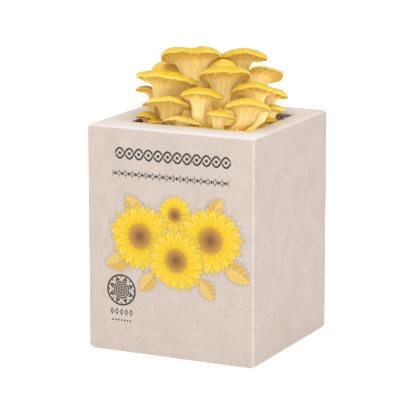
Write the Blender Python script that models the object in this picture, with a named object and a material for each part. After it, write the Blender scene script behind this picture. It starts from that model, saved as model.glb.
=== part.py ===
"""Oyster mushroom grow kit.

A square cardboard carton holds a block of substrate, and a cluster of golden oyster mushrooms grows
up through the window in the carton's top.

Lengths are written in millimetres and turned into metres where an object is made. +Z is up, the
carton's front faces -Y, and the origin is the middle of the carton's base.
"""

import math
from typing import NamedTuple

import bmesh
import bpy
from mathutils import Vector
from mathutils.bvhtree import BVHTree

MM = 0.001
GAP = 0.3  # left between pieces that touch
SHARP_ANGLE = math.radians(50)  # edges sharper than this aren't shaded smooth

# Carton: one folded sheet of board
CARTON_WIDTH = 152.0
CARTON_DEPTH = 148.0
CARTON_HEIGHT = 190.0
BOARD = 2.0
OUTER_ROUND = 3.5
WINDOW_LEFT, WINDOW_RIGHT = -48.0, 60.0
WINDOW_FRONT, WINDOW_BACK = -49.0, 39.0
WINDOW_ROUND = 2.0
SEAM_WIDTH = 1.0  # where the two bottom flaps meet
SEAM_DEPTH = 1.0

# Substrate: the block that the mushrooms feed on
BLOCK_CLEARANCE = 1.0
BLOCK_TOP = 185.2
BLOCK_LUMP = 0.7
BLOCK_CELLS = 12

# Base: the knot of tissue that the stems grow from
BASE_CENTRE = Vector((7.0, 0.0))
BASE_HALF_WIDTH = 45.0
BASE_HALF_DEPTH = 28.0
BASE_RISE = 14.5
BASE_SLOPE = 1.6
BASE_SQUARENESS = 2.3
BASE_LIP = 0.8
BASE_COLUMNS = 20
BASE_RINGS = (1.0, 0.85, 0.6, 0.3)

# Mushroom profile, as shares of the rim's radius
MARGIN_REACH = 0.93  # where the gills end and the rim turns down
MARGIN_DROP = 0.08
TOP_EDGE_REACH = 0.985
FOOT_SHARE = 0.85  # of the stem's radius
WAIST_SHARE = 0.95
FLARE_BEND = 2.0  # 1 is a straight cone and 2 a quarter ellipse
BELLY = 0.12  # how far the gills hang near the rim
BELLY_FLARE = 0.8  # caps with a shallower flare have less of it
BELLY_SPAN = 0.69  # share of the way from the stem over which it grows
LARGE_RADIUS, SMALL_RADIUS = 16.0, 8.5
LARGE_COLUMNS, SMALL_COLUMNS, TINY_COLUMNS = 14, 12, 10
LARGE_TOP_RINGS, SMALL_TOP_RINGS = (0.86, 0.62, 0.32), (0.78, 0.42)
LARGE_FLARE_TURNS, SMALL_FLARE_TURNS = (0, 24, 46, 72), (0, 32, 66)
STEM_STEPS = (0.0, 0.5)


class Mushroom(NamedTuple):
    """One fruit body. Lengths are in mm, angles in degrees, and the rest are shares of the radius."""

    name: str
    cap: tuple  # middle of the rim
    radius: float  # of the rim
    foot: tuple  # where the stem stands, x and y
    facing: float = 26.0  # which way the front lip looks, round from -Y towards +X
    tilt: float = 14.0  # how far the cap leans back from its lip
    roll: float = 0.0  # how far its right side is down
    dome: float = 0.42  # height over the rim
    flare: float = 0.95  # depth of the gills under the rim
    stem: float = 0.34  # the stem's radius
    depth: float = 1.0  # front to back, against the width
    saddle: float = 0.10  # how far the sides hang and the lip lifts
    dent: float = 0.0  # hollow in the middle of the cap
    waves: tuple = ((3, 0.030, 40.0), (5, 0.018, 110.0))  # of the rim: count, height, phase
    offset: tuple = (0.0, 0.15)  # where the stem joins, right and back of the middle


MUSHROOMS = (
    # the crown
    Mushroom("mushroom_01", (-18.3, 3.0, 240.4), 26.4, (-4, 2), tilt=17.5, roll=-1.5, dome=0.27,
             stem=0.37, flare=1.1, saddle=0.03, dent=0.06, offset=(0.10, 0.0),
             waves=((4, 0.035, 180.0), (3, 0.03, 60.0))),
    Mushroom("mushroom_02", (16.0, 31.0, 238.0), 20.3, (13, 19), tilt=11, roll=-1, dome=0.31,
             flare=0.9, stem=0.32, saddle=0.17, offset=(-0.14, 0.15)),
    Mushroom("mushroom_03", (17.4, -5.8, 228.5), 22.3, (11.5, -6.2), dome=0.24, stem=0.32,
             flare=1.05, saddle=0.07, offset=(-0.10, 0.15), waves=((4, 0.03, 150.0), (3, 0.02, 20.0))),
    Mushroom("mushroom_04", (7.6, 10.5, 230.2), 12.7, (2, 11), facing=20, tilt=8, dome=0.57),
    Mushroom("mushroom_05", (35.3, 31.1, 223.2), 16.5, (27, 17), tilt=34, roll=1, dome=0.15,
             stem=0.5, saddle=0.04, offset=(-0.4, 0.05)),
    Mushroom("mushroom_06", (-44.3, 9.4, 224.6), 17.5, (-20, 0), tilt=-12, roll=-15, dome=0.34,
             stem=0.38, flare=0.8, offset=(0.2, 0.1)),
    # the shoulders
    Mushroom("mushroom_07", (-25.5, -26.0, 224.2), 25.8, (-29, -15), roll=8.5, dome=0.22,
             stem=0.33, flare=0.85, depth=0.85, saddle=0.04, offset=(0.0, 0.42),
             waves=((4, 0.035, 90.0), (5, 0.02, 30.0))),
    Mushroom("mushroom_08", (-48.0, -19.0, 211.4), 9.9, (-38.5, -16), roll=10, dome=0.40,
             flare=0.8, offset=(0.6, 0.2)),
    Mushroom("mushroom_09", (10.5, -35.0, 214.4), 17.8, (9, -30.5), roll=4, dome=0.33, flare=0.9,
             saddle=0.07, offset=(-0.06, 0.25)),
    Mushroom("mushroom_10", (-17.0, -39.5, 207.0), 17.8, (-17, -30), roll=5, dome=0.28,
             stem=0.48, flare=0.76, depth=0.85, saddle=0.08, offset=(0.10, 0.4)),
    Mushroom("mushroom_11", (-36.5, -33.5, 203.8), 8.4, (-32, -29), roll=-6, dome=0.28,
             flare=0.8),
    Mushroom("mushroom_12", (43.0, -5.0, 217.0), 18.2, (39, 1), tilt=12, roll=1, dome=0.31,
             stem=0.33, flare=0.85, saddle=0.15, offset=(0.12, 0.1)),
    Mushroom("mushroom_13", (46.7, 26.0, 208.2), 12.6, (39, 19), roll=5, dome=0.42, stem=0.4,
             saddle=0.13, offset=(-0.3, 0.0)),
    Mushroom("mushroom_14", (48.5, -27.5, 207.0), 18.4, (39.5, -33.5), roll=3, dome=0.33,
             stem=0.45, flare=0.66, offset=(-0.12, 0.0)),
    # round the window's front
    Mushroom("mushroom_15", (31.2, -40.8, 200.0), 11.8, (29.5, -42), roll=9, tilt=10, dome=0.30,
             stem=0.44, flare=0.6, saddle=0.05, offset=(-0.14, 0.0)),
    Mushroom("mushroom_16", (-6.4, -35.5, 191.5), 18.6, (-8, -39), facing=4, tilt=11,
             roll=2, dome=0.25, flare=0.26, depth=0.62, saddle=0.09, offset=(0.0, 0.0),
             waves=((3, 0.02, 20.0), (5, 0.015, 110.0))),
    Mushroom("mushroom_17", (-38.5, -38.0, 192.3), 9.2, (-37, -40), roll=8, dome=0.56,
             flare=0.35, saddle=0.06),
    Mushroom("mushroom_18", (-29.0, -42.0, 189.8), 6.8, (-28, -42), roll=2, tilt=6, dome=0.42,
             flare=0.3, saddle=0.05),
    Mushroom("mushroom_19", (52.8, 13.6, 197.2), 9.6, (48.0, 10.5), tilt=14, roll=-1, dome=0.54,
             stem=0.48, flare=0.65, offset=(-0.35, 0.0)),
    Mushroom("mushroom_20", (52.2, 2.8, 190.2), 7.3, (54.8, 2), roll=-2, tilt=6, flare=0.25,
             saddle=0.05, offset=(0.0, 0.0)),
    Mushroom("mushroom_21", (-5.5, -22.0, 200.2), 5.6, (-4, -19), tilt=4),
    Mushroom("mushroom_22", (54.5, -13.0, 202.5), 7.4, (51.5, -31.0), tilt=20, roll=12, dome=0.2,
             stem=0.78, flare=0.8, offset=(-0.1, 0.0)),
    # round the back
    Mushroom("mushroom_23", (-16.5, 34.0, 213.0), 15.5, (-15, 22), facing=205, dome=0.30,
             flare=0.75, offset=(0.0, 0.4)),
    Mushroom("mushroom_24", (13.0, 41.0, 202.0), 11.5, (12, 31), facing=185, dome=0.32,
             flare=0.6, offset=(0.0, 0.4)),
    Mushroom("mushroom_25", (-42.0, 25.0, 207.0), 12.0, (-35, 20), facing=235, dome=0.35,
             flare=0.8, offset=(0.0, 0.3)),
    Mushroom("mushroom_26", (30.0, 42.0, 206.0), 10.0, (27, 33), facing=160, dome=0.32,
             flare=0.8, offset=(0.0, 0.4)),
    Mushroom("mushroom_27", (-44.5, 3.0, 198.0), 9.0, (-40, 3), facing=270, dome=0.35, flare=0.6,
             offset=(0.0, 0.3)),
    Mushroom("mushroom_28", (-32.0, 38.5, 199.5), 9.0, (-29, 33), facing=215, dome=0.32,
             flare=0.6, offset=(0.0, 0.4)),
    Mushroom("mushroom_29", (-3.0, 38.5, 197.5), 8.0, (-2, 33), facing=190, flare=0.5,
             offset=(0.0, 0.3)),
    Mushroom("mushroom_30", (42.0, 34.0, 193.5), 7.0, (41, 33), facing=130, flare=0.4,
             offset=(0.0, 0.2)),
)

# Colours, linear RGB
KRAFT = (0.73, 0.64, 0.58)
SUBSTRATE_BROWN = (0.16, 0.085, 0.04)
BASE_OCHRE = (0.70, 0.45, 0.10)
MUSHROOM_YELLOW = (0.88, 0.60, 0.08)


def clear_scene():
    for old in list(bpy.data.objects):
        bpy.data.objects.remove(old, do_unlink=True)


def material(name, colour, roughness):
    made = bpy.data.materials.new(name)
    made.use_nodes = True
    shader = made.node_tree.nodes["Principled BSDF"]
    shader.inputs["Base Color"].default_value = (*colour, 1.0)
    shader.inputs["Roughness"].default_value = roughness
    shader.inputs["Metallic"].default_value = 0.0
    return made


def new_object(name, bm, finish=None):
    """An object in metres from a bmesh in millimetres, with its faces pointing out."""
    bmesh.ops.recalc_face_normals(bm, faces=bm.faces)
    bmesh.ops.scale(bm, vec=(MM, MM, MM), verts=bm.verts)
    mesh = bpy.data.meshes.new(name)
    bm.to_mesh(mesh)
    bm.free()
    mesh.shade_smooth()
    mesh.set_sharp_from_angle(angle=SHARP_ANGLE)
    made = bpy.data.objects.new(name, mesh)
    bpy.context.scene.collection.objects.link(made)
    if finish:
        mesh.materials.append(finish)
    return made


def cut(target, cutter, name):
    """Takes cutter out of target and keeps it as a hidden helper."""
    cutter.hide_render = True
    cutter.display_type = "WIRE"
    modifier = target.modifiers.new(name, "BOOLEAN")
    modifier.operation = "DIFFERENCE"
    modifier.object = cutter


def loft(rings, foot_point=None, top_point=None):
    """A bmesh skin over rings of equal length, closed by a fan or a flat face at each end."""
    bm = bmesh.new()
    rows = [[bm.verts.new(point) for point in ring] for ring in rings]
    count = len(rings[0])
    for low, high in zip(rows, rows[1:]):
        for i in range(count):
            j = (i + 1) % count
            bm.faces.new((low[i], low[j], high[j], high[i]))
    for row, point, turned in ((rows[0], foot_point, True), (rows[-1], top_point, False)):
        if point is None:
            bm.faces.new(row[::-1] if turned else row)
            continue
        middle = bm.verts.new(point)
        for i in range(count):
            pair = (row[i], row[(i + 1) % count])
            bm.faces.new((*(pair[::-1] if turned else pair), middle))
    return bm


def box(name, low, high, rounding=0.0, segments=3, upright_only=False, finish=None):
    """A block between two corners, with all its edges or only its upright ones rounded."""
    bm = bmesh.new()
    bmesh.ops.create_cube(bm, size=1.0)
    low, high = Vector(low), Vector(high)
    bmesh.ops.scale(bm, vec=high - low, verts=bm.verts)
    bmesh.ops.translate(bm, vec=(high + low) / 2, verts=bm.verts)
    if rounding:
        edges = [
            edge
            for edge in bm.edges
            if not upright_only or abs(edge.verts[0].co.z - edge.verts[1].co.z) > 1.0
        ]
        bmesh.ops.bevel(bm, geom=edges, offset=rounding, segments=segments, profile=0.5,
                        affect="EDGES")
    return new_object(name, bm, finish)


def make_carton(finish):
    """The folded carton: a rounded box, its hollow, the window in its top and the seam in its base."""
    half_width, half_depth = CARTON_WIDTH / 2, CARTON_DEPTH / 2
    carton = box("carton", (-half_width, -half_depth, 0), (half_width, half_depth, CARTON_HEIGHT),
                 OUTER_ROUND, finish=finish)
    hollow = box("cutter_hollow",
                 (BOARD - half_width, BOARD - half_depth, BOARD),
                 (half_width - BOARD, half_depth - BOARD, CARTON_HEIGHT - BOARD),
                 OUTER_ROUND - BOARD, segments=2)
    window = box("cutter_window",
                 (WINDOW_LEFT, WINDOW_FRONT, CARTON_HEIGHT - 3 * BOARD),
                 (WINDOW_RIGHT, WINDOW_BACK, CARTON_HEIGHT + BOARD),
                 WINDOW_ROUND, segments=3, upright_only=True)
    seam = box("cutter_seam",
               (-CARTON_WIDTH, -SEAM_WIDTH / 2, -SEAM_DEPTH),
               (CARTON_WIDTH, SEAM_WIDTH / 2, SEAM_DEPTH))
    cut(carton, hollow, "hollow")
    cut(carton, window, "window")
    cut(carton, seam, "seam")
    return carton


def block_height(x, y):
    """Height of the substrate's top, which is lumpy round a flat middle."""
    lumps = math.sin(x / 7.1 + 0.6) * math.cos(y / 8.3) + 0.5 * math.sin(x / 4.7 - y / 6.1)
    calm = min(1.0, max(0.0, base_share(x, y) - 1))  # flat where the base stands
    return BLOCK_TOP + BLOCK_LUMP * lumps * calm


def make_substrate(finish):
    """The block: a lumpy top on a plain body that fills the carton."""
    inset = BOARD + BLOCK_CLEARANCE
    half_width, half_depth = CARTON_WIDTH / 2 - inset, CARTON_DEPTH / 2 - inset
    bm = bmesh.new()
    bmesh.ops.create_grid(bm, x_segments=BLOCK_CELLS, y_segments=BLOCK_CELLS, size=1.0)
    for vert in bm.verts:
        x, y = vert.co.x * half_width, vert.co.y * half_depth
        vert.co = Vector((x, y, block_height(x, y)))
    border = [edge for edge in bm.edges if edge.is_boundary]
    skirt = bmesh.ops.extrude_edge_only(bm, edges=border)["geom"]
    for vert in (item for item in skirt if isinstance(item, bmesh.types.BMVert)):
        vert.co.z = BOARD + GAP
    bmesh.ops.contextual_create(bm, geom=[e for e in bm.edges if e.is_boundary])
    return new_object("substrate", bm, finish)


def base_share(x, y):
    """0 in the middle of the base and 1 on its edge."""
    across = abs(x - BASE_CENTRE.x) / BASE_HALF_WIDTH
    back = abs(y - BASE_CENTRE.y) / BASE_HALF_DEPTH
    return (across**BASE_SQUARENESS + back**BASE_SQUARENESS) ** (1 / BASE_SQUARENESS)


def base_height(x, y):
    """Height of the base's domed top."""
    rise = BASE_RISE * max(0.0, 1 - base_share(x, y) ** BASE_SLOPE)
    return BLOCK_TOP + GAP + BASE_LIP + rise


def make_base(finish):
    """The low mound under the stems, standing on the flat middle of the substrate."""
    foot_level = BLOCK_TOP + GAP
    outline = []
    for i in range(BASE_COLUMNS):
        turn = 2 * math.pi * i / BASE_COLUMNS
        step = Vector((math.cos(turn), math.sin(turn)))
        outline.append(step / base_share(*(BASE_CENTRE + step)))
    rings = [[(*(BASE_CENTRE + step), foot_level) for step in outline]]
    for share in BASE_RINGS:
        ring = [BASE_CENTRE + step * share for step in outline]
        rings.append([(*point, base_height(*point)) for point in ring])
    top = (*BASE_CENTRE, base_height(*BASE_CENTRE))
    return new_object("cluster_base", loft(rings, (*BASE_CENTRE, foot_level), top), finish)


def seat_height(x, y):
    """Height just over whatever a stem stands on there."""
    return GAP + (base_height(x, y) if base_share(x, y) < 1 else block_height(x, y))


def cap_axes(mushroom):
    """The cap's own right, back and up directions."""
    facing, tilt, roll = (math.radians(v) for v in (mushroom.facing, mushroom.tilt, mushroom.roll))
    front = Vector((math.sin(facing), -math.cos(facing), 0))
    right = Vector((math.cos(facing), math.sin(facing), 0))
    up = Vector((0, 0, 1)) * math.cos(tilt) - front * math.sin(tilt)
    up = (up * math.cos(roll) + right * math.sin(roll)).normalized()
    right = (right - up * right.dot(up)).normalized()
    return right, up.cross(right), up


def lobes(mushroom, turn):
    """The waves of the rim there, as a share of the radius."""
    wave = 0.0
    for count, height, phase in mushroom.waves:
        wave += height * math.cos(count * turn + math.radians(phase))
    return wave


def rim_wave(mushroom, turn):
    """How far the rim stands off its plane there, as a share of the radius."""
    return lobes(mushroom, turn) - mushroom.saddle * math.cos(2 * turn)


def cap_ring(mushroom, reach, height, columns, shift=0.0):
    """A ring of the cap at this share of the radius and this height; shift moves it to the stem."""
    right, back, up = cap_axes(mushroom)
    across, behind = (shift * value for value in mushroom.offset)
    ring = []
    for i in range(columns):
        turn = 2 * math.pi * i / columns
        wave = rim_wave(mushroom, turn)
        bulge = reach * (1 + 0.8 * lobes(mushroom, turn) * reach**2)
        spread = 1 + (mushroom.depth - 1) * reach
        step = right * (bulge * math.cos(turn) + across)
        step += back * (bulge * spread * math.sin(turn) + behind)
        step += up * (height + wave * reach**2)
        ring.append(Vector(mushroom.cap) + step * mushroom.radius)
    return ring


def underside_rings(mushroom, turns, columns):
    """The gilled trumpet from the stem's top to the rim, which turns down at its edge."""
    rings = []
    span = MARGIN_REACH - mushroom.stem
    for degrees in turns:
        inward = math.cos(math.radians(degrees)) ** (2 / FLARE_BEND)
        upward = math.sin(math.radians(degrees)) ** (2 / FLARE_BEND)
        belly = BELLY * min(1.0, mushroom.flare / BELLY_FLARE)
        belly *= min(1.0, (1 - inward) / BELLY_SPAN) ** 2
        height = -mushroom.flare * (1 - upward) - belly
        rings.append(cap_ring(mushroom, MARGIN_REACH - span * inward, height, columns, inward))
    rings.append(cap_ring(mushroom, 1.0, -MARGIN_DROP, columns))
    return rings


def top_height(mushroom, reach):
    """Height of the cap's top over the rim's plane."""
    dome = mushroom.dome * (1 - reach**2.4) ** 0.75
    return dome - mushroom.dent * math.exp(-((reach / 0.4) ** 2))


def stem_rings(mushroom, steps, columns):
    """The stem, from where it stands to where the gills begin."""
    right, back, up = cap_axes(mushroom)
    across, behind = mushroom.offset
    lift = right * across + back * behind - up * mushroom.flare
    neck = Vector(mushroom.cap) + lift * mushroom.radius
    x, y = mushroom.foot
    foot = Vector((x, y, seat_height(x, y)))
    pull = 0.35 * (neck - foot).length
    handles = foot, foot + Vector((0, 0, pull)), neck - up * pull, neck
    rings = []
    for step in steps:
        weights = (1 - step) ** 3, 3 * step * (1 - step) ** 2, 3 * step**2 * (1 - step), step**3
        middle = sum((w * p for w, p in zip(weights, handles)), Vector())
        share = FOOT_SHARE + (WAIST_SHARE - FOOT_SHARE) * step
        size = mushroom.radius * mushroom.stem * share
        lean = up * step + Vector((0, 0, 1)) * (1 - step)
        side = (right - lean * right.dot(lean)).normalized()
        rear = lean.cross(side)
        ring = []
        for i in range(columns):
            turn = 2 * math.pi * i / columns
            point = middle + (side * math.cos(turn) + rear * math.sin(turn)) * size
            if not rings:
                point.z = seat_height(point.x, point.y)
            ring.append(point)
        rings.append(ring)
    return rings, foot


def column_count(mushroom):
    if mushroom.radius >= LARGE_RADIUS:
        return LARGE_COLUMNS
    return SMALL_COLUMNS if mushroom.radius >= SMALL_RADIUS else TINY_COLUMNS


def make_mushroom(mushroom, finish):
    large = mushroom.radius >= LARGE_RADIUS
    columns = column_count(mushroom)
    rings, foot = stem_rings(mushroom, STEM_STEPS, columns)
    turns = LARGE_FLARE_TURNS if large else SMALL_FLARE_TURNS
    rings += underside_rings(mushroom, turns, columns)
    reaches = (TOP_EDGE_REACH, *(LARGE_TOP_RINGS if large else SMALL_TOP_RINGS))
    rings += [cap_ring(mushroom, r, top_height(mushroom, r), columns) for r in reaches]
    up = cap_axes(mushroom)[2]
    crown = Vector(mushroom.cap) + up * mushroom.radius * top_height(mushroom, 0.0)
    return new_object(mushroom.name, loft(rings, foot, crown), finish)


def grown_copy(source, name):
    """A copy that stands GAP outside its source, used to cut what presses against it."""
    bm = bmesh.new()
    bm.from_mesh(source.data)
    bm.normal_update()
    for vert in bm.verts:
        vert.co += vert.normal * GAP * MM * vert.calc_shell_factor()
    mesh = bpy.data.meshes.new(name)
    bm.to_mesh(mesh)
    bm.free()
    made = bpy.data.objects.new(name, mesh)
    bpy.context.scene.collection.objects.link(made)
    return made


def press_together(pieces):
    """Where two pieces crowd each other, the later one is cut to lie against the earlier."""
    trees = {}
    for piece in pieces:
        bm = bmesh.new()
        bm.from_mesh(piece.data)
        trees[piece.name] = BVHTree.FromBMesh(bm)
        bm.free()
    cutters = {}
    for i, later in enumerate(pieces):
        for earlier in pieces[:i]:
            if not trees[later.name].overlap(trees[earlier.name]):
                continue
            if earlier.name not in cutters:
                cutters[earlier.name] = grown_copy(earlier, "cutter_" + earlier.name)
            cut(later, cutters[earlier.name], "against_" + earlier.name)


def main():
    clear_scene()
    make_carton(material("carton_board", KRAFT, 0.85))
    make_substrate(material("substrate", SUBSTRATE_BROWN, 0.95))
    base = make_base(material("base_tissue", BASE_OCHRE, 0.6))
    flesh = material("mushroom_flesh", MUSHROOM_YELLOW, 0.55)
    press_together([base, *(make_mushroom(mushroom, flesh) for mushroom in MUSHROOMS)])


main()
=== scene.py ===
"""The looks of the oyster mushroom grow kit.

Each mushroom is grown again from the same numbers as its solid, with gills, a turned-down lip and
an uneven skin. The carton, the substrate and the knot of tissue under the stems get finer shapes
too. Lengths are in millimetres and become metres where a mesh is made. +Z is up and the front
faces -Y.
"""

import math
import random
from functools import partial, partialmethod
from typing import NamedTuple

import bmesh
import bpy
import numpy as np
from mathutils import Matrix, Vector, noise
from mathutils.bvhtree import BVHTree
from mathutils.kdtree import KDTree


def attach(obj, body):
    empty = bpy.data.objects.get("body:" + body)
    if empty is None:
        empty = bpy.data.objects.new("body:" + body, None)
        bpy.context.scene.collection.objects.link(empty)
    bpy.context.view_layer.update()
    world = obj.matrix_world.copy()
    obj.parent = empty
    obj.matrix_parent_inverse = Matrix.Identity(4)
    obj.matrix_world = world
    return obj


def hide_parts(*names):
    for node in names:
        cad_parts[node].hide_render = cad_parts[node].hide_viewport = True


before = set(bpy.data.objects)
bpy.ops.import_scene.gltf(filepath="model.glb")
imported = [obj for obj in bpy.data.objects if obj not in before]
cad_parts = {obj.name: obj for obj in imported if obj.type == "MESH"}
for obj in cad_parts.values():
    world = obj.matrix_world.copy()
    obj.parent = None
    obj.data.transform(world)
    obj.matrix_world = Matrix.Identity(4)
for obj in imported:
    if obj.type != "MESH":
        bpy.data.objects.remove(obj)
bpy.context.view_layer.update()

MM = 0.001

# The solids' own dimensions
CARTON_WIDTH, CARTON_DEPTH, CARTON_HEIGHT = 152.0, 148.0, 190.0
BOARD = 2.0
OUTER_ROUND = 3.5
WINDOW_LEFT, WINDOW_RIGHT = -48.0, 60.0
WINDOW_FRONT, WINDOW_BACK = -49.0, 39.0
WINDOW_ROUND = 2.0
BLOCK_CLEARANCE = 1.0
BLOCK_TOP = 185.2
BLOCK_LUMP = 0.7
GAP = 0.3
BASE_CENTRE = (7.0, 0.0)
BASE_HALF_WIDTH, BASE_HALF_DEPTH = 45.0, 28.0
BASE_RISE = 14.5
BASE_SLOPE = 1.6
BASE_SQUARENESS = 2.3
BASE_LIP = 0.8
MARGIN_REACH = 0.93
FOOT_SHARE, WAIST_SHARE = 0.85, 0.95
FLARE_BEND = 2.0

# Fine shape of a mushroom
LIP = ((0.944, -0.078), (0.958, -0.088), (0.976, -0.088), (0.991, -0.074), (1, -0.046),
       (1.003, -0.012))  # reach and height, from the gills' end round the rim
TOP_REACHES = (0.985, 0.96, 0.92, 0.86, 0.78, 0.68, 0.56, 0.42, 0.28, 0.14)
FRINGE = ((7, 0.011), (11, 0.011), (17, 0.01), (27, 0.008), (38, 0.005))  # every rim's waves
BELLY = 0.12  # how far the gills hang near the rim, as a share of the radius
HOLLOW, HOLLOW_REACH = 0.07, 0.36  # of the cap over the stem, behind its middle
FINE = 13, 20, LIP, TOP_REACHES  # rows of the stem and of the gills, and then the other rows
COARSE = 5, 7, LIP[1::2], TOP_REACHES[::3]
COARSE_COLUMNS = 40
POINTS_PER_GILL = 4
PRESS_GAP = 0.12  # left between two mushrooms that press against each other
SWELL_BELOW, SWELL_ABOVE = 0.45, 0.12  # of a presser's stem and gills, and of its rim and top
SEED_STEP = 1.37  # from one mushroom's seed to the next

# Fine shape of the carton, of the substrate and of the base
SEAM, GLUE_LINE, EDGE_BEVEL = 1.0, 0.5, 0.35
CHIPS, PINHEADS = 1500, 170
STRAW_SIZE = ((3, 8), (0.25, 0.5), (0.2, 0.4))  # shortest and longest, along, across and high
CHIP_SIZE = ((1.0, 3.2), (0.8, 1.8), (0.4, 0.9))
BASE_COLUMNS, BASE_ROWS = 240, 70

# Camera: fitted to the carton's edges, 2455.2 px of focal length in a frame of 416 px
CAMERA_PLACE = (0.88105, -1.81008, 0.55709)
CAMERA_AZIMUTH, CAMERA_ELEVATION = 25.98, 12.47
SENSOR = 36.0
LENS = 2455.2 * SENSOR / 416.0
LAMP_SIZE, LAMP_AIM = 1.4, Vector((0, 0, 0.12))
WHITE = (1, 1, 1, 1)


class Mushroom(NamedTuple):
    """One fruit body: lengths in mm, angles in degrees, and the rest as shares of the radius."""

    cap: tuple  # middle of the rim
    radius: float  # of the rim
    foot: tuple  # where the stem stands, x and y
    facing: float = 26  # which way the front lip looks, round from -Y towards +X
    tilt: float = 14  # how far the cap leans back from its lip
    roll: float = 0  # how far its right side is down
    dome: float = 0.42  # height over the rim
    flare: float = 0.95  # depth of the gills under the rim
    stem: float = 0.34  # the stem's radius
    depth: float = 1  # front to back, against the width
    saddle: float = 0.1  # how far the sides hang and the lip lifts
    dent: float = 0  # hollow in the middle of the cap
    offset: tuple = (0, 0.15)  # where the stem joins, right and back of the middle
    waves: tuple = ((3, 0.03, 40), (5, 0.018, 110))  # of the rim: count, height, phase
    frills: tuple = ()  # finer waves of the rim
    furrow: tuple = ()  # from front to back over the cap: its place, half its width, its depth
    painted_light: tuple = (0, 0)  # how much paler the cap is painted, as painted light, at its left and right
    painted_shade: tuple = (0, 0, 0)  # how much painted shade darkens it, left and right below the rim, and on top
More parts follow.
